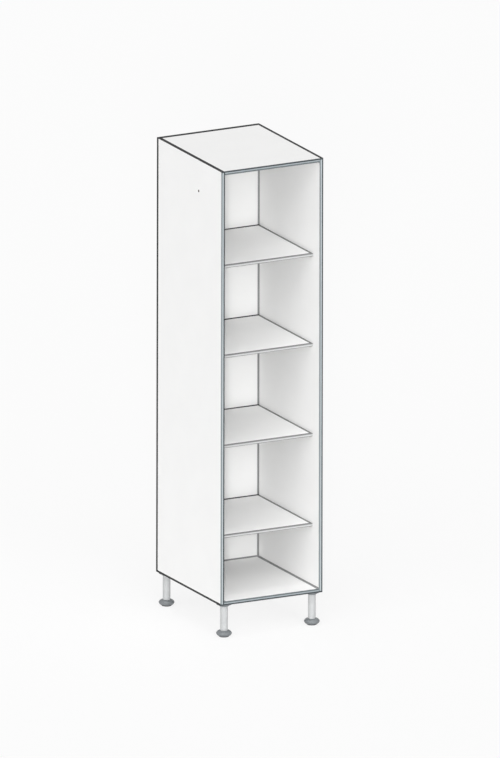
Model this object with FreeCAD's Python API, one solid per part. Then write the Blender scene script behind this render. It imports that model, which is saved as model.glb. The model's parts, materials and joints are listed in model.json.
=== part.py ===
import FreeCAD, Part
import math
import os
from FreeCAD import Vector

# Tall open kitchen cabinet: a board carcass on four screw-adjustable legs, with loose shelves.
# Millimetres. The origin is the middle of the footprint on the floor and +Z is up.
# The open front faces -Y, and +X is to the right seen from the front.

# Carcass
CABINET_WIDTH = 450.0
CABINET_DEPTH = 560.0
CARCASS_HEIGHT = 1776.0
LEG_HEIGHT = 135.0
BOARD = 16.0
FRONT_EDGING = 2.0
THIN_EDGING = 1.0
EDGING_ROUND = 1.0

# Back panel, held in grooves on all four sides
BACK_BOARD = 8.0
REAR_VOID = 24.0
GROOVE_DEPTH = 8.0
GROOVE_PLAY = 0.15
BACK_SHORT = 1.0

# Hole that bolts the left side to a neighbouring cabinet
CONNECTOR_DIAMETER = 10.0
CONNECTOR_FROM_FRONT = 197.0
CONNECTOR_BELOW_TOP = 128.0

# Shelves
SHELF_COUNT = 4
SHELF_BOARD = 12.0
SHELF_SETBACK = 54.0
SHELF_SIDE_GAP = 1.2
SHELF_REAR_GAP = 3.0
LOWEST_SHELF_RISE = 254.0
SHELF_PITCH = 368.0

# Shelf pins: a stub in the side panel and a flat-topped head under the shelf
PIN_DIAMETER = 5.0
PIN_INSERT = 9.0
PIN_HEAD_DIAMETER = 8.0
PIN_HEAD_LENGTH = 8.0
PIN_DROP = 3.0
PIN_FRONT_ROW = 69.0
PIN_REAR_ROW = 453.0

# Corner joints: dowels and cam fittings, the same distances in from the front and the rear
DOWEL_SETBACK = 64.0
DOWEL_DIAMETER = 8.0
DOWEL_LENGTH = 30.0
DOWEL_IN_SIDE = 11.0
CAM_SETBACK = 96.0
CAM_REACH = 24.0
CAM_DIAMETER = 15.0
CAM_HEIGHT = 12.5
CAM_SLOT_LENGTH = 8.0
CAM_SLOT_WIDTH = 1.6
CAM_SLOT_DEPTH = 2.0
CAP_DIAMETER = 17.0
CAP_HEIGHT = 1.2
CAP_CHAMFER = 0.5
BOLT_THREAD_DIAMETER = 5.0
BOLT_THREAD_LENGTH = 10.0
BOLT_SHANK_DIAMETER = 7.0
BOLT_SHANK_LENGTH = 16.0
BOLT_NECK_DIAMETER = 4.5
BOLT_HEAD_DIAMETER = 6.8
BOLT_HEAD_LENGTH = 3.0
BOLT_PLAY = 0.5

# Legs
LEG_INSET = 31.0
TUBE_DIAMETER = 30.0
TUBE_WALL = 2.5
THREADED_END = 20.0
PLATE_DIAMETER = 62.0
PLATE_THICKNESS = 3.0
COLLAR_DIAMETER = 40.0
COLLAR_HEIGHT = 7.0
COLLAR_CHAMFER = 1.0
HUB_LENGTH = 25.0
HUB_CHAMFER = 1.5
SCREW_CIRCLE = 50.0
SCREW_ANGLES = (-75.0, -35.0, 35.0, 75.0)
SCREW_DIAMETER = 3.5
SCREW_LENGTH = 15.0
SCREW_HEAD_DIAMETER = 7.4
SCREW_HEAD_HEIGHT = 2.6
SCREW_CROSS_WIDTH = 0.8
SCREW_CROSS_LENGTH = 3.6
SCREW_CROSS_DEPTH = 1.2

# Feet
FOOT_DIAMETER = 62.0
FOOT_SOLE_DIAMETER = 42.0
FOOT_BELLY_RADIUS = 27.5
FOOT_BELLY_HEIGHT = 7.0
FOOT_RIM_BOTTOM = 13.0
FOOT_RIM_TOP = 15.0
FOOT_SHOULDER_RADIUS = 26.0
FOOT_SHOULDER_TOP = 21.5
FOOT_NECK_DIAMETER = 32.0
FOOT_TOP = 25.0
STOP_GAP = 0.3
FOOT_TRAVEL = 12.0
THREAD_DIAMETER = 18.0
THREAD_DEPTH = 1.5
THREAD_PITCH = 4.0
THREAD_CREST = 1.1
PAD_DIAMETER = 40.0
PAD_THICKNESS = 3.0
PAD_CHAMFER = 0.8
PAD_PIN_DIAMETER = 8.0
PAD_PIN_LENGTH = 6.0
PAD_GAP = 0.2

# Fits
FIT = 0.05
THREAD_PLAY = 0.1
END_PLAY = 0.5

FRONT = -CABINET_DEPTH / 2
REAR = CABINET_DEPTH / 2
CARCASS_BOTTOM = LEG_HEIGHT
CARCASS_TOP = LEG_HEIGHT + CARCASS_HEIGHT
BAY_FLOOR = CARCASS_BOTTOM + BOARD
BAY_CEILING = CARCASS_TOP - BOARD
INNER_HALF = CABINET_WIDTH / 2 - BOARD
BACK_REAR_FACE = REAR - REAR_VOID
BACK_FRONT_FACE = BACK_REAR_FACE - BACK_BOARD
PLATE_UNDERSIDE = CARCASS_BOTTOM - PLATE_THICKNESS
COLLAR_UNDERSIDE = PLATE_UNDERSIDE - COLLAR_HEIGHT
TUBE_BOTTOM = FOOT_TOP + STOP_GAP
TUBE_BORE = TUBE_DIAMETER - 2 * TUBE_WALL
THREAD_TURNS = round((THREADED_END + FOOT_TRAVEL) / THREAD_PITCH)
SIDES = {"left": -1, "right": 1}
LEGS = {"front_left": (-1, -1), "front_right": (1, -1), "rear_left": (-1, 1), "rear_right": (1, 1)}
UP = Vector(0, 0, 1)


def block(x_ends, y_ends, z_ends):
    """A box between two values on each axis, given in either order."""
    low = Vector(min(x_ends), min(y_ends), min(z_ends))
    size = [max(ends) - min(ends) for ends in (x_ends, y_ends, z_ends)]
    return Part.makeBox(size[0], size[1], size[2], low)


def rod(diameter, length, start, direction=UP):
    return Part.makeCylinder(diameter / 2, length, start, direction)


def turned(outline, x=0.0, y=0.0):
    """A solid turned about an upright axis at x, y from edges drawn in the XZ plane."""
    solid = Part.Face(Part.Wire(outline)).revolve(Vector(0, 0, 0), UP, 360)
    solid.translate(Vector(x, y, 0))
    return solid


def outline_of(points):
    corners = [Vector(radius, 0, height) for radius, height in points]
    return Part.makePolygon(corners + corners[:1]).Edges


def rounded_front(strip):
    """An edging strip with its two long front edges rounded."""
    box = strip.BoundBox
    longest = max(box.XLength, box.ZLength)
    edges = [e for e in strip.Edges if e.Length > longest / 2 and abs(e.CenterOfMass.y - box.YMin) < FIT]
    return strip.makeFillet(EDGING_ROUND, edges)


def shelf_tops():
    return [BAY_FLOOR + LOWEST_SHELF_RISE + SHELF_PITCH * n for n in range(SHELF_COUNT)]


def rows_from_ends(setback):
    return (FRONT + setback, REAR - setback)


def joint_heights():
    """Mid-thickness of the bottom panel and of the top panel."""
    return (CARCASS_BOTTOM + BOARD / 2, CARCASS_TOP - BOARD / 2)


def pin_axes(top):
    """Where the four pins of the shelf with this top face enter the side panels."""
    height = top - SHELF_BOARD - PIN_DROP
    return [(side, FRONT + row, height) for side in SIDES.values() for row in (PIN_FRONT_ROW, PIN_REAR_ROW)]


def side_panel(side):
    outer = side * CABINET_WIDTH / 2
    inner = side * INNER_HALF
    into = Vector(side, 0, 0)
    y_ends = (FRONT + FRONT_EDGING, REAR - THIN_EDGING)
    z_ends = (CARCASS_BOTTOM + THIN_EDGING, CARCASS_TOP - THIN_EDGING)
    panel = block((inner, outer), y_ends, z_ends)
    groove_y = (BACK_FRONT_FACE - GROOVE_PLAY, BACK_REAR_FACE + GROOVE_PLAY)
    groove_z = (BAY_FLOOR - GROOVE_DEPTH, BAY_CEILING + GROOVE_DEPTH)
    cuts = [block((inner, inner + side * GROOVE_DEPTH), groove_y, groove_z)]
    for top in shelf_tops():
        for pin_side, y, z in pin_axes(top):
            if pin_side == side:
                cuts.append(rod(PIN_DIAMETER + 2 * FIT, PIN_INSERT + END_PLAY, Vector(inner, y, z), into))
    for z in joint_heights():
        for y in rows_from_ends(DOWEL_SETBACK):
            depth = DOWEL_IN_SIDE + END_PLAY
            cuts.append(rod(DOWEL_DIAMETER + 2 * FIT, depth, Vector(inner, y, z), into))
        for y in rows_from_ends(CAM_SETBACK):
            depth = BOLT_THREAD_LENGTH + END_PLAY
            cuts.append(rod(BOLT_THREAD_DIAMETER + 2 * FIT, depth, Vector(inner, y, z), into))
    if side == SIDES["left"]:
        start = Vector(inner, FRONT + CONNECTOR_FROM_FRONT, CARCASS_TOP - CONNECTOR_BELOW_TOP)
        cuts.append(rod(CONNECTOR_DIAMETER, BOARD, start, into))
    return panel.cut(cuts)


def side_edgings(side):
    x_ends = (side * INNER_HALF, side * CABINET_WIDTH / 2)
    z_ends = (CARCASS_BOTTOM, CARCASS_TOP)
    between = (FRONT + FRONT_EDGING, REAR - THIN_EDGING)
    return {
        "front": rounded_front(block(x_ends, (FRONT, FRONT + FRONT_EDGING), z_ends)),
        "rear": block(x_ends, (REAR - THIN_EDGING, REAR), z_ends),
        "top": block(x_ends, between, (CARCASS_TOP - THIN_EDGING, CARCASS_TOP)),
        "bottom": block(x_ends, between, (CARCASS_BOTTOM, CARCASS_BOTTOM + THIN_EDGING)),
    }


def level_panel(underside):
    """The top or bottom board between the sides, with its joint bores but no back groove yet."""
    y_ends = (FRONT + FRONT_EDGING, REAR - THIN_EDGING)
    panel = block((-INNER_HALF, INNER_HALF), y_ends, (underside, underside + BOARD))
    middle = underside + BOARD / 2
    cuts = []
    for side in SIDES.values():
        end = side * INNER_HALF
        inward = Vector(-side, 0, 0)
        for y in rows_from_ends(DOWEL_SETBACK):
            depth = DOWEL_LENGTH - DOWEL_IN_SIDE + END_PLAY
            cuts.append(rod(DOWEL_DIAMETER + 2 * FIT, depth, Vector(end, y, middle), inward))
        for y in rows_from_ends(CAM_SETBACK):
            cuts.append(rod(BOLT_SHANK_DIAMETER + 2 * BOLT_PLAY, CAM_REACH, Vector(end, y, middle), inward))
            axis = Vector(end - side * CAM_REACH, y, underside)
            cuts.append(rod(CAM_DIAMETER + 2 * FIT, CAM_HEIGHT + END_PLAY, axis))
    return panel.cut(cuts)


def back_groove(z_ends):
    groove_y = (BACK_FRONT_FACE - GROOVE_PLAY, BACK_REAR_FACE + GROOVE_PLAY)
    return block((-INNER_HALF, INNER_HALF), groove_y, z_ends)


def top_panel():
    return level_panel(BAY_CEILING).cut(back_groove((BAY_CEILING, BAY_CEILING + GROOVE_DEPTH)))


def bottom_panel():
    cuts = [back_groove((BAY_FLOOR - GROOVE_DEPTH, BAY_FLOOR))]
    pilot_depth = SCREW_LENGTH - PLATE_THICKNESS + END_PLAY
    for leg in LEGS.values():
        for x, y in screw_axes(leg):
            cuts.append(rod(SCREW_DIAMETER + 2 * FIT, pilot_depth, Vector(x, y, CARCASS_BOTTOM)))
    return level_panel(CARCASS_BOTTOM).cut(cuts)


def level_edgings(underside):
    x_ends = (-INNER_HALF, INNER_HALF)
    z_ends = (underside, underside + BOARD)
    return {
        "front": rounded_front(block(x_ends, (FRONT, FRONT + FRONT_EDGING), z_ends)),
        "rear": block(x_ends, (REAR - THIN_EDGING, REAR), z_ends),
    }


def back_panel():
    """Stands on the floor of the bottom groove and stops short of the other three."""
    half = INNER_HALF + GROOVE_DEPTH - BACK_SHORT
    z_ends = (BAY_FLOOR - GROOVE_DEPTH, BAY_CEILING + GROOVE_DEPTH - BACK_SHORT)
    return block((-half, half), (BACK_FRONT_FACE, BACK_REAR_FACE), z_ends)


def wood_dowels():
    dowels = []
    for side in SIDES.values():
        start_x = side * (INNER_HALF + DOWEL_IN_SIDE)
        for z in joint_heights():
            for y in rows_from_ends(DOWEL_SETBACK):
                dowels.append(rod(DOWEL_DIAMETER, DOWEL_LENGTH, Vector(start_x, y, z), Vector(-side, 0, 0)))
    return Part.makeCompound(dowels)


def cam_bolt(side, y, z):
    """Threaded into the side panel, with a necked head that the cam draws in."""
    face = side * INNER_HALF
    inward = Vector(-side, 0, 0)
    tip = CAM_REACH + BOLT_HEAD_LENGTH / 2
    thread_start = Vector(face + side * BOLT_THREAD_LENGTH, y, z)
    thread = rod(BOLT_THREAD_DIAMETER, BOLT_THREAD_LENGTH, thread_start, inward)
    shank = rod(BOLT_SHANK_DIAMETER, BOLT_SHANK_LENGTH, Vector(face, y, z), inward)
    neck = rod(BOLT_NECK_DIAMETER, tip, Vector(face, y, z), inward)
    head_start = Vector(face - side * (tip - BOLT_HEAD_LENGTH), y, z)
    head = rod(BOLT_HEAD_DIAMETER, BOLT_HEAD_LENGTH, head_start, inward)
    return thread.fuse([shank, neck, head]).removeSplitter()


def cam_housing(side, y, middle):
    """A turned cam with a way through its wall for the bolt and a cross slot underneath."""
    underside = middle - BOARD / 2
    x = side * (INNER_HALF - CAM_REACH)
    body = rod(CAM_DIAMETER, CAM_HEIGHT, Vector(x, y, underside))
    way_diameter = BOLT_HEAD_DIAMETER + 2 * BOLT_PLAY
    way_end = BOLT_HEAD_LENGTH / 2 + BOLT_PLAY
    way = rod(way_diameter, CAM_DIAMETER, Vector(x - side * way_end, y, middle), Vector(side, 0, 0))
    slot_z = (underside, underside + CAM_SLOT_DEPTH)
    half_length = CAM_SLOT_LENGTH / 2
    half_width = CAM_SLOT_WIDTH / 2
    along = block((x - half_length, x + half_length), (y - half_width, y + half_width), slot_z)
    across = block((x - half_width, x + half_width), (y - half_length, y + half_length), slot_z)
    return body.cut([way, along, across])


def cam_places():
    rows = rows_from_ends(CAM_SETBACK)
    return [(side, y, z) for side in SIDES.values() for z in joint_heights() for y in rows]


def cam_cap(side, y):
    """A thin cover over a cam of the top panel."""
    radius = CAP_DIAMETER / 2
    low = BAY_CEILING - CAP_HEIGHT
    points = [(0, low), (radius - CAP_CHAMFER, low), (radius, low + CAP_CHAMFER), (radius, BAY_CEILING)]
    points.append((0, BAY_CEILING))
    return turned(outline_of(points), side * (INNER_HALF - CAM_REACH), y)


def cam_caps():
    return [cam_cap(side, y) for side in SIDES.values() for y in rows_from_ends(CAM_SETBACK)]


def shelf_y_ends():
    return (FRONT + SHELF_SETBACK, BACK_FRONT_FACE - SHELF_REAR_GAP)


def shelf_board(top):
    half = INNER_HALF - SHELF_SIDE_GAP
    front, rear = shelf_y_ends()
    return block((-half, half), (front + FRONT_EDGING, rear), (top - SHELF_BOARD, top))


def shelf_edging(top):
    half = INNER_HALF - SHELF_SIDE_GAP
    front = shelf_y_ends()[0]
    return rounded_front(block((-half, half), (front, front + FRONT_EDGING), (top - SHELF_BOARD, top)))


def shelf_pin(side, y, z):
    face = side * INNER_HALF
    stub = rod(PIN_DIAMETER, PIN_INSERT, Vector(face, y, z), Vector(side, 0, 0))
    head = rod(PIN_HEAD_DIAMETER, PIN_HEAD_LENGTH, Vector(face, y, z), Vector(-side, 0, 0))
    x_ends = (face, face - side * PIN_HEAD_LENGTH)
    y_ends = (y - PIN_HEAD_DIAMETER, y + PIN_HEAD_DIAMETER)
    flat = block(x_ends, y_ends, (z + PIN_DROP, z + PIN_HEAD_DIAMETER))
    return stub.fuse(head.cut(flat)).removeSplitter()


def shelf_pins(top):
    return Part.makeCompound([shelf_pin(side, y, z) for side, y, z in pin_axes(top)])


def leg_axis(leg):
    return (leg[0] * (CABINET_WIDTH / 2 - LEG_INSET), leg[1] * (CABINET_DEPTH / 2 - LEG_INSET))


def screw_axes(leg):
    """The screws keep to the inner half of the plate, under the bottom panel."""
    x, y = leg_axis(leg)
    radius = SCREW_CIRCLE / 2
    angles = [math.radians(angle) for angle in SCREW_ANGLES]
    return [(x - leg[0] * radius * math.cos(a), y + radius * math.sin(a)) for a in angles]


def screw_form(x, y, diameter, head_diameter, length):
    """A countersunk screw pointing up, its head flush with the plate's underside."""
    start = Vector(x, y, PLATE_UNDERSIDE)
    head = Part.makeCone(head_diameter / 2, diameter / 2, SCREW_HEAD_HEIGHT, start)
    shank = rod(diameter, length, start)
    return head.fuse(shank).removeSplitter()


def leg_screw(x, y):
    z_ends = (PLATE_UNDERSIDE, PLATE_UNDERSIDE + SCREW_CROSS_DEPTH)
    long_half = SCREW_CROSS_LENGTH / 2
    short_half = SCREW_CROSS_WIDTH / 2
    along = block((x - long_half, x + long_half), (y - short_half, y + short_half), z_ends)
    across = block((x - short_half, x + short_half), (y - long_half, y + long_half), z_ends)
    return screw_form(x, y, SCREW_DIAMETER, SCREW_HEAD_DIAMETER, SCREW_LENGTH).cut([along, across])


def leg_screws():
    return Part.makeCompound([leg_screw(x, y) for leg in LEGS.values() for x, y in screw_axes(leg)])


def leg_socket(leg):
    """A screwed plate under the carcass, a collar below it and a hub that plugs the tube."""
    plate = PLATE_DIAMETER / 2
    collar = COLLAR_DIAMETER / 2
    hub = TUBE_BORE / 2 - FIT
    hub_end = COLLAR_UNDERSIDE - HUB_LENGTH
    points = [(0, hub_end), (hub - HUB_CHAMFER, hub_end), (hub, hub_end + HUB_CHAMFER)]
    points += [(hub, COLLAR_UNDERSIDE), (collar - COLLAR_CHAMFER, COLLAR_UNDERSIDE)]
    points += [(collar, COLLAR_UNDERSIDE + COLLAR_CHAMFER), (collar, PLATE_UNDERSIDE)]
    points += [(plate, PLATE_UNDERSIDE), (plate, CARCASS_BOTTOM), (0, CARCASS_BOTTOM)]
    socket = turned(outline_of(points), *leg_axis(leg))
    wider = 2 * FIT
    holes = [
        screw_form(x, y, SCREW_DIAMETER + wider, SCREW_HEAD_DIAMETER + wider, SCREW_LENGTH)
        for x, y in screw_axes(leg)
    ]
    return socket.cut(holes)


def leg_tube(leg):
    """A straight tube, with a thicker threaded length at its lower end."""
    outer = TUBE_DIAMETER / 2
    bore = TUBE_BORE / 2
    thread = THREAD_DIAMETER / 2 + THREAD_PLAY
    ledge = TUBE_BOTTOM + THREADED_END
    points = [(thread, TUBE_BOTTOM), (outer, TUBE_BOTTOM), (outer, COLLAR_UNDERSIDE)]
    points += [(bore, COLLAR_UNDERSIDE), (bore, ledge), (thread, ledge)]
    return turned(outline_of(points), *leg_axis(leg))


def stem_points():
    """The threaded stem's outline, one ridge per turn, long enough for the whole travel."""
    crest = THREAD_DIAMETER / 2
    core = crest - THREAD_DEPTH
    flank = (THREAD_PITCH - 2 * THREAD_CREST) / 2
    points = []
    for turn in range(THREAD_TURNS):
        low = FOOT_TOP + turn * THREAD_PITCH
        points.append((core, low))
        points.append((core, low + THREAD_CREST))
        points.append((crest, low + THREAD_CREST + flank))
        points.append((crest, low + 2 * THREAD_CREST + flank))
    end = FOOT_TOP + THREAD_TURNS * THREAD_PITCH
    return points + [(core, end), (0, end)]


def path_of(points):
    return Part.makePolygon([Vector(radius, 0, height) for radius, height in points]).Edges


def arc_of(*points):
    """An arc from the first point over the second to the third."""
    return Part.Arc(*[Vector(radius, 0, height) for radius, height in points]).toShape()


def foot(leg):
    """A lens-shaped foot with the threaded stem on top and a blind bore for the pad's pin below."""
    rim = FOOT_DIAMETER / 2
    neck = FOOT_NECK_DIAMETER / 2
    sole = FOOT_SOLE_DIAMETER / 2
    sole_height = PAD_THICKNESS + PAD_GAP
    bore = PAD_PIN_DIAMETER / 2 + THREAD_PLAY
    bore_end = PAD_THICKNESS + PAD_PIN_LENGTH + END_PLAY
    belly = (FOOT_BELLY_RADIUS, FOOT_BELLY_HEIGHT)
    shoulder = (FOOT_SHOULDER_RADIUS, FOOT_SHOULDER_TOP)
    outline = path_of([(0, bore_end), (bore, bore_end), (bore, sole_height), (sole, sole_height)])
    outline.append(arc_of((sole, sole_height), belly, (rim, FOOT_RIM_BOTTOM)))
    outline += path_of([(rim, FOOT_RIM_BOTTOM), (rim, FOOT_RIM_TOP)])
    outline.append(arc_of((rim, FOOT_RIM_TOP), shoulder, (neck, FOOT_TOP)))
    outline += path_of([(neck, FOOT_TOP)] + stem_points() + [(0, bore_end)])
    return turned(outline, *leg_axis(leg))


def foot_pad(leg):
    """A rubber disc with a pin that turns in the foot."""
    radius = PAD_DIAMETER / 2
    pin = PAD_PIN_DIAMETER / 2
    pin_end = PAD_THICKNESS + PAD_PIN_LENGTH
    points = [(0, 0), (radius - PAD_CHAMFER, 0), (radius, PAD_CHAMFER), (radius, PAD_THICKNESS)]
    points += [(pin, PAD_THICKNESS), (pin, pin_end), (0, pin_end)]
    return turned(outline_of(points), *leg_axis(leg))


def carcass_nodes():
    nodes = {"top_panel": top_panel(), "bottom_panel": bottom_panel(), "back_panel": back_panel()}
    for name, side in SIDES.items():
        nodes[name + "_panel"] = side_panel(side)
        for edge, strip in side_edgings(side).items():
            nodes[name + "_" + edge + "_edging"] = strip
    for name, underside in (("top", BAY_CEILING), ("bottom", CARCASS_BOTTOM)):
        for edge, strip in level_edgings(underside).items():
            nodes[name + "_" + edge + "_edging"] = strip
    nodes["wood_dowels"] = wood_dowels()
    nodes["cam_bolts"] = Part.makeCompound([cam_bolt(*place) for place in cam_places()])
    nodes["cam_housings"] = Part.makeCompound([cam_housing(*place) for place in cam_places()])
    nodes["cam_caps"] = Part.makeCompound(cam_caps())
    return nodes


def shelf_nodes():
    nodes = {}
    for number, top in enumerate(shelf_tops(), start=1):
        shelf = "shelf_" + str(number)
        nodes[shelf + "_board"] = shelf_board(top)
        nodes[shelf + "_edging"] = shelf_edging(top)
        nodes[shelf + "_pins"] = shelf_pins(top)
    return nodes


def leg_nodes():
    nodes = {"leg_screws": leg_screws()}
    for name, leg in LEGS.items():
        nodes["socket_" + name] = leg_socket(leg)
        nodes["tube_" + name] = leg_tube(leg)
        nodes["foot_" + name] = foot(leg)
        nodes["pad_" + name] = foot_pad(leg)
    return nodes


def main():
    os.makedirs("parts", exist_ok=True)
    for group in (carcass_nodes(), shelf_nodes(), leg_nodes()):
        for name, shape in group.items():
            shape.exportStep("parts/" + name + ".step")


main()
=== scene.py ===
import bpy
import json
import math
from mathutils import Matrix, Vector


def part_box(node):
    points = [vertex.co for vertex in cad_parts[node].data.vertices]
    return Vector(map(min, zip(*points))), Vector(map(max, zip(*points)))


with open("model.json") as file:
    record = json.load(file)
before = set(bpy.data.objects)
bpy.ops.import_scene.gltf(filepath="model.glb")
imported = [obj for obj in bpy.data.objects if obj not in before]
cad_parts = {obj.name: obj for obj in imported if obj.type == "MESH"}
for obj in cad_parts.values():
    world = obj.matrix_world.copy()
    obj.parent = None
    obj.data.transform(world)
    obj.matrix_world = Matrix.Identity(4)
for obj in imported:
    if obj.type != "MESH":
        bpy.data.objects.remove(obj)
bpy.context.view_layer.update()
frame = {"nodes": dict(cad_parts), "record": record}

# Camera: a parallel view, as the drawing is. Degrees and metres.
AZIMUTH = -27.009
ELEVATION = 15.83
ROLL = 0.1176
VIEW_HEIGHT = 2.98323
AIM_RIGHT = 0.04061
AIM_UP = 0.92772
CAMERA_DISTANCE = 12.0
CAMERA_REACH = 60.0

# Studio: azimuth, elevation, level and spread of each sun
VIEW_SUN = (-27.5, 14.5, 0.45, 5.0)
FRONT_SUN = (-17.0, 37.0, 0.39, 50.0)
QUARTER_SUN = (-64.0, 32.0, 0.19, 40.0)
OVERHEAD_SUN = (-30.0, 84.0, 0.25, 30.0)
WORLD_LEVEL = 0.27
BACKGROUND_LEVEL = 0.985
FLOOR_GLOW = 0.82
FLOOR_REACH = 30.0
FLOOR_COLOUR = (0.86, 0.86, 0.86)
FLOOR_ROUGHNESS = 0.9
PURE_WHITE = (1.0, 1.0, 1.0, 1.0)

# Colours, linear
WHITE_FACE = (0.90, 0.90, 0.896)
# Dark grey of the arris lines; the same grey paints the shade at a shelf's rear
LINE_GREY = (0.045, 0.0455, 0.0465)
# Grey of the painted shade in the bay's inner corners
CORNER_SHADE_GREY = (0.32, 0.323, 0.326)
UPRIGHT_CENTRE = (0.46, 0.512, 0.532)
UPRIGHT_SOFT_LINE = (0.21, 0.238, 0.252)
LYING_CENTRE = (0.34, 0.383, 0.402)
LYING_SOFT_LINE = (0.12, 0.142, 0.152)
FRAME_DARK_LINE = (0.040, 0.049, 0.055)
# Grey of the shelf front arris; the same grey paints the shade along a shelf's sides
SHELF_ARRIS_AND_SHADE_GREY = (0.22, 0.222, 0.224)
SHELF_LOWER_GREY = (0.27, 0.273, 0.275)
SHELF_FRONT = (0.54, 0.545, 0.546)
FOOT_GREY = (0.170, 0.183, 0.192)
TUBE_GREY = (0.50, 0.51, 0.514)
CAP_WHITE = (0.84, 0.84, 0.835)
RUBBER_GREY = (0.035, 0.036, 0.038)
# Raw chipboard, darkened as painted shade inside the bolt hole
BORE_BROWN_AND_SHADE = (0.100, 0.085, 0.068)
BEECH = (0.56, 0.36, 0.19)
BEECH_DARK = (0.38, 0.22, 0.10)
ZINC = (0.60, 0.60, 0.58)
NICKEL = (0.70, 0.68, 0.64)

# Noise: scale, detail and roughness, and the stretch of long marks
MELAMINE_CLOUD = (9.0, 2.0, 0.5)
MELAMINE_GRAIN = (1400.0, 2.0, 0.5)
EDGING_CLOUD = (14.0, 2.0, 0.5)
EDGING_GRAIN = (900.0, 2.0, 0.5)
MOULDED_CLOUD = (40.0, 3.0, 0.5)
SATIN_GRAIN = (1100.0, 3.0, 0.6)
FOOT_GRAIN = (900.0, 3.0, 0.6)
RUBBER_GRAIN = (700.0, 3.0, 0.6)
PLATED_CLOUD = (160.0, 4.0, 0.6)
PLATED_MARKS = (700.0, 3.0, 0.6)
MARKS_STRETCH = (0.15, 1.0, 1.0)
BEECH_FIBRE = (260.0, 4.0, 0.6)
FIBRE_STRETCH = (0.06, 1.0, 1.0)

# The middle of a noise's range, which is what spreads over a tone or a roughness
NOISE_MIDDLE = (0.3, 0.7)
FIBRE_MIDDLE = (0.35, 0.65)

# Tone: darkest and lightest share of the colour
MELAMINE_TONE = (0.985, 1.0)
EDGING_TONE = (0.95, 1.03)
MOULDED_TONE = (0.93, 1.05)
PLATED_TONE = (0.88, 1.0)

# Relief: strength of the bump, and its depth in metres
MELAMINE_RELIEF = (0.12, 0.0002)
EDGING_RELIEF = (0.10, 0.0002)
SATIN_RELIEF = (0.12, 0.0003)
FOOT_RELIEF = (0.2, 0.0003)
RUBBER_RELIEF = (0.3, 0.0003)
PLATED_RELIEF = (0.08, 0.0001)
BEECH_RELIEF = (0.2, 0.0003)

# Roughness: least and most
MELAMINE_ROUGH = (0.86, 0.96)
EDGING_ROUGH = (0.38, 0.5)
SATIN_ROUGH = (0.34, 0.46)
FOOT_ROUGH = (0.42, 0.56)
RUBBER_ROUGH = (0.78, 0.9)
ZINC_ROUGH = (0.28, 0.45)
NICKEL_ROUGH = (0.2, 0.36)
BEECH_ROUGH = 0.62
MELAMINE_GLOSS = 0.15

# Widths of the grey arris lines and of the painted shade lines, in metres in from each edge of a face
SIDE_TOP_LINE = 0.0025
SIDE_BOTTOM_LINE = 0.0085
SIDE_REAR_LINE = 0.0140
TOP_SIDE_LINE = 0.0130
TOP_REAR_LINE = 0.0220
REAR_LINE = 0.0060
# The next five widths are of the painted shade in the bay's inner corners
CORNER_SIDE_LINE = 0.0085
CORNER_BACK_LINE = 0.0045
FLOOR_REAR_LINE = 0.0090
FLOOR_SIDE_LINE = 0.0090
WALL_LINE = 0.0040
FRAME_LINE = 0.0060
# The shelf's rear and side widths are of painted shade where a shelf meets the carcass
SHELF_REAR_LINE = 0.0160
SHELF_SIDE_LINE = 0.0100
SHELF_NOSE_LINE = 0.0090
SHELF_FRONT_LINE = 0.0036
SHELF_LOWER_LINE = 0.0030

# What counts as lying on a face: metres off its plane, and a share of a shelf's height
SKIN = 0.0003
SHELF_UPPER_FACE = 0.98

# Sockets of the Mix node, which go by number because their names repeat
MIX_VALUES = (2, 3)
MIX_COLOURS = (6, 7)
MIX_COLOUR_OUT = 2

SHELF_COUNT = 4

# Planes of the carcass
left_low, left_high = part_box("left_front_edging")
right_low, right_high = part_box("right_front_edging")
HALF_WIDTH = right_high[0]
HALF_INNER = right_low[0]
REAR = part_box("left_rear_edging")[1][1]
BACK_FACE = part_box("back_panel")[0][1]
CARCASS_BOTTOM = left_low[2]
CARCASS_TOP = left_high[2]
BAY_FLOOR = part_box("bottom_panel")[1][2]
BAY_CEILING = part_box("top_panel")[0][2]


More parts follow.
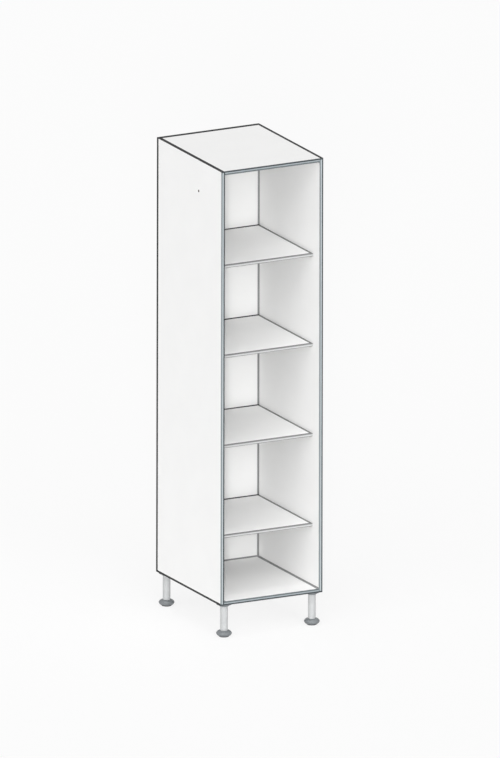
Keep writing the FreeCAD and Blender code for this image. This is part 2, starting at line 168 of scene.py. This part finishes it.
class Graph:
    """A material's node tree, with short calls for the nodes used here."""

    def __init__(self, name, coordinates="Object"):
        self.material = bpy.data.materials.new(name)
        self.material.use_nodes = True
        self.tree = self.material.node_tree
        self.shader = self.tree.nodes["Principled BSDF"]
        source = self.add("ShaderNodeTexCoord")
        self.coords = source.outputs["Object"]
        split = self.add("ShaderNodeSeparateXYZ")
        self.link(source.outputs[coordinates], split.inputs[0])
        self.x, self.y, self.z = split.outputs[0], split.outputs[1], split.outputs[2]

    def add(self, kind):
        return self.tree.nodes.new(kind)

    def link(self, source, target):
        self.tree.links.new(source, target)

    def feed(self, value, socket):
        if isinstance(value, bpy.types.NodeSocket):
            self.link(value, socket)
        else:
            socket.default_value = value

    def feed_colour(self, value, socket):
        self.feed(value if isinstance(value, bpy.types.NodeSocket) else (*value, 1.0), socket)

    def math(self, operation, *values):
        node = self.add("ShaderNodeMath")
        node.operation = operation
        for value, socket in zip(values, node.inputs):
            self.feed(value, socket)
        return node.outputs[0]

    def size(self, value):
        return self.math("ABSOLUTE", value)

    def near(self, value, place, width=SKIN):
        """One where value lies within width of place, else zero."""
        return self.math("COMPARE", value, place, width)

    def between(self, value, first, second):
        return self.near(value, (first + second) / 2, abs(second - first) / 2)

    def either(self, first, *others):
        for other in others:
            first = self.math("MAXIMUM", first, other)
        return first

    def both(self, first, *others):
        for other in others:
            first = self.math("MULTIPLY", first, other)
        return first

    def noise(self, scale, detail, roughness, stretch=None):
        node = self.add("ShaderNodeTexNoise")
        node.inputs["Scale"].default_value = scale
        node.inputs["Detail"].default_value = detail
        node.inputs["Roughness"].default_value = roughness
        source = self.coords
        if stretch:
            mapping = self.add("ShaderNodeMapping")
            mapping.inputs["Scale"].default_value = stretch
            self.link(self.coords, mapping.inputs["Vector"])
            source = mapping.outputs[0]
        self.link(source, node.inputs["Vector"])
        return node.outputs[0]

    def spread(self, noise, least, most, middle=NOISE_MIDDLE):
        """The middle of a noise's range, spread from least to most."""
        node = self.add("ShaderNodeMapRange")
        ends = ("From Min", "From Max", "To Min", "To Max")
        for end, number in zip(ends, (*middle, least, most)):
            node.inputs[end].default_value = number
        self.link(noise, node.inputs["Value"])
        return node.outputs[0]

    def mix(self, factor, first, second):
        node = self.add("ShaderNodeMix")
        node.data_type = "RGBA"
        self.feed(factor, node.inputs[0])
        for number, colour in zip(MIX_COLOURS, (first, second)):
            self.feed_colour(colour, node.inputs[number])
        return node.outputs[MIX_COLOUR_OUT]

    def mottle(self, noise, base, darkest, lightest):
        """The base colour, darker and lighter with a noise."""
        return self.mix(self.spread(noise, 0.0, 1.0), shade(base, darkest), shade(base, lightest))

    def bump(self, height, strength, depth):
        node = self.add("ShaderNodeBump")
        node.inputs["Strength"].default_value = strength
        node.inputs["Distance"].default_value = depth
        self.link(height, node.inputs["Height"])
        self.link(node.outputs[0], self.shader.inputs["Normal"])

    def finish(self, colour, roughness, metallic=0.0):
        self.feed_colour(colour, self.shader.inputs["Base Color"])
        self.feed(roughness, self.shader.inputs["Roughness"])
        self.shader.inputs["Metallic"].default_value = metallic
        return self.material


def shade(colour, factor):
    return tuple(min(1.0, channel * factor) for channel in colour)


def melamine(graph):
    """White faced board, matt, with a fine pearl grain and a faint unevenness of tone."""
    cloud = graph.noise(*MELAMINE_CLOUD)
    graph.bump(graph.noise(*MELAMINE_GRAIN), *MELAMINE_RELIEF)
    graph.shader.inputs["Specular IOR Level"].default_value = MELAMINE_GLOSS
    return graph.mottle(cloud, WHITE_FACE, *MELAMINE_TONE), graph.spread(cloud, *MELAMINE_ROUGH)


def outer_lines(graph):
    """Arris lines on the outer sides, the top and underside, and the rear edges."""
    across = graph.size(graph.x)
    side = graph.either(
        graph.between(graph.z, CARCASS_TOP - SIDE_TOP_LINE, CARCASS_TOP + SKIN),
        graph.between(graph.z, CARCASS_BOTTOM - SKIN, CARCASS_BOTTOM + SIDE_BOTTOM_LINE),
        graph.between(graph.y, REAR - SIDE_REAR_LINE, REAR + SKIN))
    level = graph.either(
        graph.between(across, HALF_WIDTH - TOP_SIDE_LINE, HALF_WIDTH + SKIN),
        graph.between(graph.y, REAR - TOP_REAR_LINE, REAR + SKIN))
    rear = graph.either(
        graph.between(across, HALF_WIDTH - REAR_LINE, HALF_WIDTH + SKIN),
        graph.between(graph.z, CARCASS_TOP - REAR_LINE, CARCASS_TOP + SKIN),
        graph.between(graph.z, CARCASS_BOTTOM - SKIN, CARCASS_BOTTOM + REAR_LINE))
    on_level = graph.either(graph.near(graph.z, CARCASS_TOP), graph.near(graph.z, CARCASS_BOTTOM))
    return graph.either(
        graph.both(side, graph.near(across, HALF_WIDTH)),
        graph.both(level, on_level),
        graph.both(rear, graph.near(graph.y, REAR)))


def inner_lines(graph):
    """Painted corner shade: grey lines inside the bay, where the back, floor and ceiling meet the
    sides.
    """
    across = graph.size(graph.x)
    low_wall = graph.between(graph.z, BAY_FLOOR - SKIN, BAY_FLOOR + WALL_LINE)
    high_wall = graph.between(graph.z, BAY_CEILING - WALL_LINE, BAY_CEILING + SKIN)
    ends = graph.either(low_wall, high_wall)
    wall_corner = graph.between(graph.y, BACK_FACE - CORNER_SIDE_LINE, BACK_FACE + SKIN)
    back_corner = graph.between(across, HALF_INNER - CORNER_BACK_LINE, HALF_INNER + SKIN)
    level = graph.either(
        graph.between(graph.y, BACK_FACE - FLOOR_REAR_LINE, BACK_FACE + SKIN),
        graph.between(across, HALF_INNER - FLOOR_SIDE_LINE, HALF_INNER + SKIN))
    on_level = graph.either(graph.near(graph.z, BAY_FLOOR), graph.near(graph.z, BAY_CEILING))
    in_bay = graph.both(
        graph.math("LESS_THAN", across, HALF_INNER + SKIN),
        graph.math("LESS_THAN", graph.y, BACK_FACE + SKIN),
        graph.between(graph.z, BAY_FLOOR - SKIN, BAY_CEILING + SKIN))
    lines = graph.either(
        graph.both(graph.either(ends, wall_corner), graph.near(across, HALF_INNER)),
        graph.both(graph.either(ends, back_corner), graph.near(graph.y, BACK_FACE)),
        graph.both(level, on_level))
    return graph.both(lines, in_bay)


def bore_wall(graph):
    """The raw board inside the connecting bolt's hole, which is in the left side only, painted darker
    than raw board as shade in the hole.
    """
    mount = next(m for m in frame["record"]["mounts"] if m["name"] == "neighbour_bolt_hole")
    along = graph.math("SUBTRACT", graph.y, mount["pos_m"][1])
    above = graph.math("SUBTRACT", graph.z, mount["pos_m"][2])
    reach = graph.math("SQRT", graph.math("ADD", graph.both(along, along), graph.both(above, above)))
    inside = graph.math("LESS_THAN", reach, mount["dims"]["r_mm"] / 1000 + SKIN)
    return graph.both(inside, graph.math("LESS_THAN", graph.x, 0.0))


def carcass_board():
    graph = Graph("white_melamine_board")
    tone, rough = melamine(graph)
    # Painted shade in the bay's inner corners
    colour = graph.mix(inner_lines(graph), tone, CORNER_SHADE_GREY)
    colour = graph.mix(outer_lines(graph), colour, LINE_GREY)
    # The bolt hole's wall: raw board darkened as painted shade
    colour = graph.mix(bore_wall(graph), colour, BORE_BROWN_AND_SHADE)
    return graph.finish(colour, rough)


def shelf_board():
    """Shelf faces, with a grey arris line along the front of the upper one, and painted shade along its
    sides and rear, where it meets the carcass. Generated coordinates serve every shelf.
    """
    low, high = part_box("shelf_1_board")
    width, depth = high[0] - low[0], high[1] - low[1]
    graph = Graph("shelf_melamine", "Generated")
    tone, rough = melamine(graph)
    upper = graph.math("GREATER_THAN", graph.z, SHELF_UPPER_FACE)
    from_middle = graph.size(graph.math("SUBTRACT", graph.x, 0.5))
    # Side bands are painted shade at the walls; the nose band is the front arris
    soft = graph.either(
        graph.math("GREATER_THAN", from_middle, 0.5 - SHELF_SIDE_LINE / width),
        graph.math("LESS_THAN", graph.y, SHELF_NOSE_LINE / depth))
    # Painted shade along the rear, where the shelf meets the back
    dark = graph.math("GREATER_THAN", graph.y, 1.0 - SHELF_REAR_LINE / depth)
    colour = graph.mix(graph.both(soft, upper), tone, SHELF_ARRIS_AND_SHADE_GREY)
    return graph.finish(graph.mix(graph.both(dark, upper), colour, LINE_GREY), rough)


def edging(graph, centre, *bands):
    """Matt edging plastic, with bands of other colours given as a mask and a colour each."""
    cloud = graph.noise(*EDGING_CLOUD)
    colour = graph.mottle(cloud, centre, *EDGING_TONE)
    for mask, band_colour in bands:
        colour = graph.mix(mask, colour, band_colour)
    graph.bump(graph.noise(*EDGING_GRAIN), *EDGING_RELIEF)
    return graph.finish(colour, graph.spread(cloud, *EDGING_ROUGH))


def end_bands(graph):
    """The uppermost and lowest stretches of the front frame."""
    return graph.either(
        graph.between(graph.z, CARCASS_TOP - FRAME_LINE, CARCASS_TOP + SKIN),
        graph.between(graph.z, CARCASS_BOTTOM - SKIN, CARCASS_BOTTOM + FRAME_LINE))


def upright_edging():
    """Blue-grey edging of the two sides, with a soft and a dark border on each strip."""
    graph = Graph("blue_grey_upright_edging")
    soft = graph.either(
        graph.between(graph.x, -HALF_WIDTH - SKIN, FRAME_LINE - HALF_WIDTH),
        graph.between(graph.x, HALF_INNER - SKIN, HALF_INNER + FRAME_LINE))
    dark = graph.either(
        graph.between(graph.x, -HALF_INNER - FRAME_LINE, -HALF_INNER + SKIN),
        graph.between(graph.x, HALF_WIDTH - FRAME_LINE, HALF_WIDTH + SKIN),
        end_bands(graph))
    return edging(graph, UPRIGHT_CENTRE, (soft, UPRIGHT_SOFT_LINE), (dark, FRAME_DARK_LINE))


def lying_edging():
    """Blue-grey edging of the top and bottom, dark outside and softer towards the bay."""
    graph = Graph("blue_grey_lying_edging")
    soft = graph.either(
        graph.between(graph.z, BAY_CEILING - SKIN, BAY_CEILING + FRAME_LINE),
        graph.between(graph.z, BAY_FLOOR - FRAME_LINE, BAY_FLOOR + SKIN))
    return edging(graph, LYING_CENTRE, (soft, LYING_SOFT_LINE), (end_bands(graph), FRAME_DARK_LINE))


def shelf_edging():
    """Pale grey shelf front with darker arrises."""
    low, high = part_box("shelf_1_edging")
    height = high[2] - low[2]
    graph = Graph("shelf_edging_plastic", "Generated")
    upper = graph.math("GREATER_THAN", graph.z, 1.0 - SHELF_FRONT_LINE / height)
    lower = graph.math("LESS_THAN", graph.z, SHELF_LOWER_LINE / height)
    return edging(graph, SHELF_FRONT, (upper, SHELF_ARRIS_AND_SHADE_GREY), (lower, SHELF_LOWER_GREY))


def moulded(name, colour, grain, relief, rough):
    """Moulded plastic or rubber with a fine sparked grain."""
    graph = Graph(name)
    cloud = graph.noise(*MOULDED_CLOUD)
    graph.bump(graph.noise(*grain), *relief)
    tone = graph.mottle(cloud, colour, *MOULDED_TONE)
    return graph.finish(tone, graph.spread(cloud, *rough))


def plated(name, colour, rough):
    """Plated or cast metal with faint rubbing marks."""
    graph = Graph(name)
    cloud = graph.noise(*PLATED_CLOUD)
    marks = graph.noise(*PLATED_MARKS, stretch=MARKS_STRETCH)
    graph.bump(marks, *PLATED_RELIEF)
    tone = graph.mottle(cloud, colour, *PLATED_TONE)
    return graph.finish(tone, graph.spread(marks, *rough), metallic=1.0)


def beech():
    graph = Graph("beech")
    fibre = graph.noise(*BEECH_FIBRE, stretch=FIBRE_STRETCH)
    colour = graph.mix(graph.spread(fibre, 0.0, 1.0, FIBRE_MIDDLE), BEECH_DARK, BEECH)
    graph.bump(fibre, *BEECH_RELIEF)
    return graph.finish(colour, BEECH_ROUGH)


def dress(material, *names):
    for name in names:
        node = frame["nodes"][name]
        node.data.materials.clear()
        node.data.materials.append(material)


def dress_carcass():
    sides = ("left", "right")
    levels = ("top", "bottom")
    board = carcass_board()
    dress(board, *[place + "_panel" for place in sides + levels], "back_panel")
    dress(board, *[side + "_" + end + "_edging" for side in sides for end in ("top", "rear", "bottom")])
    dress(board, *[level + "_rear_edging" for level in levels])
    dress(upright_edging(), *[side + "_front_edging" for side in sides])
    dress(lying_edging(), *[level + "_front_edging" for level in levels])
    caps = moulded("white_moulded_plastic", CAP_WHITE, SATIN_GRAIN, SATIN_RELIEF, SATIN_ROUGH)
    dress(caps, "cam_caps")
    dress(plated("zinc_plate", ZINC, ZINC_ROUGH), "cam_bolts", "cam_housings", "leg_screws")
    dress(beech(), "wood_dowels")


def dress_shelves():
    shelves = ["shelf_" + str(number) for number in range(1, SHELF_COUNT + 1)]
    dress(shelf_board(), *[shelf + "_board" for shelf in shelves])
    dress(shelf_edging(), *[shelf + "_edging" for shelf in shelves])
    dress(plated("nickel_plate", NICKEL, NICKEL_ROUGH), *[shelf + "_pins" for shelf in shelves])


def dress_legs():
    legs = [end + "_" + side for end in ("front", "rear") for side in ("left", "right")]
    grey = moulded("grey_moulded_plastic", FOOT_GREY, FOOT_GRAIN, FOOT_RELIEF, FOOT_ROUGH)
    pale = moulded("pale_moulded_plastic", TUBE_GREY, SATIN_GRAIN, SATIN_RELIEF, SATIN_ROUGH)
    rubber = moulded("pad_rubber", RUBBER_GREY, RUBBER_GRAIN, RUBBER_RELIEF, RUBBER_ROUGH)
    for leg in legs:
        dress(grey, "socket_" + leg, "foot_" + leg)
        dress(pale, "tube_" + leg)
        dress(rubber, "pad_" + leg)


def toward(azimuth, elevation):
    """Unit vector from the object to a viewer or lamp at these angles."""
    turn = math.radians(azimuth)
    lift = math.radians(elevation)
    return Vector((math.sin(turn) * math.cos(lift), -math.cos(turn) * math.cos(lift), math.sin(lift)))


def add_camera():
    data = bpy.data.cameras.new("camera")
    data.type = "ORTHO"
    data.ortho_scale = VIEW_HEIGHT
    data.clip_end = CAMERA_REACH
    camera = bpy.data.objects.new("camera", data)
    bpy.context.scene.collection.objects.link(camera)
    back = toward(AZIMUTH, ELEVATION)
    right = Vector((math.cos(math.radians(AZIMUTH)), math.sin(math.radians(AZIMUTH)), 0.0))
    up = back.cross(right)
    axes = Matrix((right, up, back)).transposed().to_4x4()
    place = right * AIM_RIGHT + up * AIM_UP + back * CAMERA_DISTANCE
    roll = Matrix.Rotation(math.radians(ROLL), 4, "Z")
    camera.matrix_world = Matrix.Translation(place) @ axes @ roll
    bpy.context.scene.camera = camera


def add_sun(name, azimuth, elevation, level, spread):
    data = bpy.data.lights.new(name, "SUN")
    data.energy = level * math.pi
    data.angle = math.radians(spread)
    lamp = bpy.data.objects.new(name, data)
    bpy.context.scene.collection.objects.link(lamp)
    lamp.rotation_euler = toward(azimuth, elevation).to_track_quat("Z", "Y").to_euler()


def seen_ray(tree):
    """One for rays that come from the camera, a mirror or glass."""
    path = tree.nodes.new("ShaderNodeLightPath")
    total = path.outputs["Is Camera Ray"]
    for kind in ("Is Glossy Ray", "Is Transmission Ray"):
        node = tree.nodes.new("ShaderNodeMath")
        node.operation = "MAXIMUM"
        tree.links.new(total, node.inputs[0])
        tree.links.new(path.outputs[kind], node.inputs[1])
        total = node.outputs[0]
    return total


def add_world():
    """A soft even light, with a white background where it is seen."""
    world = bpy.data.worlds.new("studio")
    bpy.context.scene.world = world
    world.use_nodes = True
    tree = world.node_tree
    background = tree.nodes["Background"]
    background.inputs["Color"].default_value = PURE_WHITE
    level = tree.nodes.new("ShaderNodeMix")
    for number, value in zip(MIX_VALUES, (WORLD_LEVEL, BACKGROUND_LEVEL)):
        level.inputs[number].default_value = value
    tree.links.new(seen_ray(tree), level.inputs[0])
    tree.links.new(level.outputs[0], background.inputs["Strength"])


def floor_material():
    """A matt pale floor that shows mostly white, and keeps a share of the shadow."""
    material = bpy.data.materials.new("pale_floor")
    material.use_nodes = True
    tree = material.node_tree
    shader = tree.nodes["Principled BSDF"]
    shader.inputs["Base Color"].default_value = (*FLOOR_COLOUR, 1.0)
    shader.inputs["Roughness"].default_value = FLOOR_ROUGHNESS
    shader.inputs["Specular IOR Level"].default_value = 0.0
    glow = tree.nodes.new("ShaderNodeEmission")
    glow.inputs["Color"].default_value = PURE_WHITE
    share = tree.nodes.new("ShaderNodeMath")
    share.operation = "MULTIPLY"
    share.inputs[1].default_value = FLOOR_GLOW
    tree.links.new(seen_ray(tree), share.inputs[0])
    blend = tree.nodes.new("ShaderNodeMixShader")
    for source, target in zip((share, shader, glow), blend.inputs):
        tree.links.new(source.outputs[0], target)
    tree.links.new(blend.outputs[0], tree.nodes["Material Output"].inputs["Surface"])
    return material


def add_floor():
    mesh = bpy.data.meshes.new("floor")
    corners = [(-1, -1), (1, -1), (1, 1), (-1, 1)]
    mesh.from_pydata([(x * FLOOR_REACH, y * FLOOR_REACH, 0.0) for x, y in corners], [], [(0, 1, 2, 3)])
    mesh.materials.append(floor_material())
    floor = bpy.data.objects.new("floor", mesh)
    bpy.context.scene.collection.objects.link(floor)


dress_carcass()
dress_shelves()
dress_legs()
add_camera()
add_sun("view_sun", *VIEW_SUN)
add_sun("front_sun", *FRONT_SUN)
add_sun("quarter_sun", *QUARTER_SUN)
add_sun("overhead_sun", *OVERHEAD_SUN)
add_world()
add_floor()
bpy.context.scene.view_settings.view_transform = "Standard"
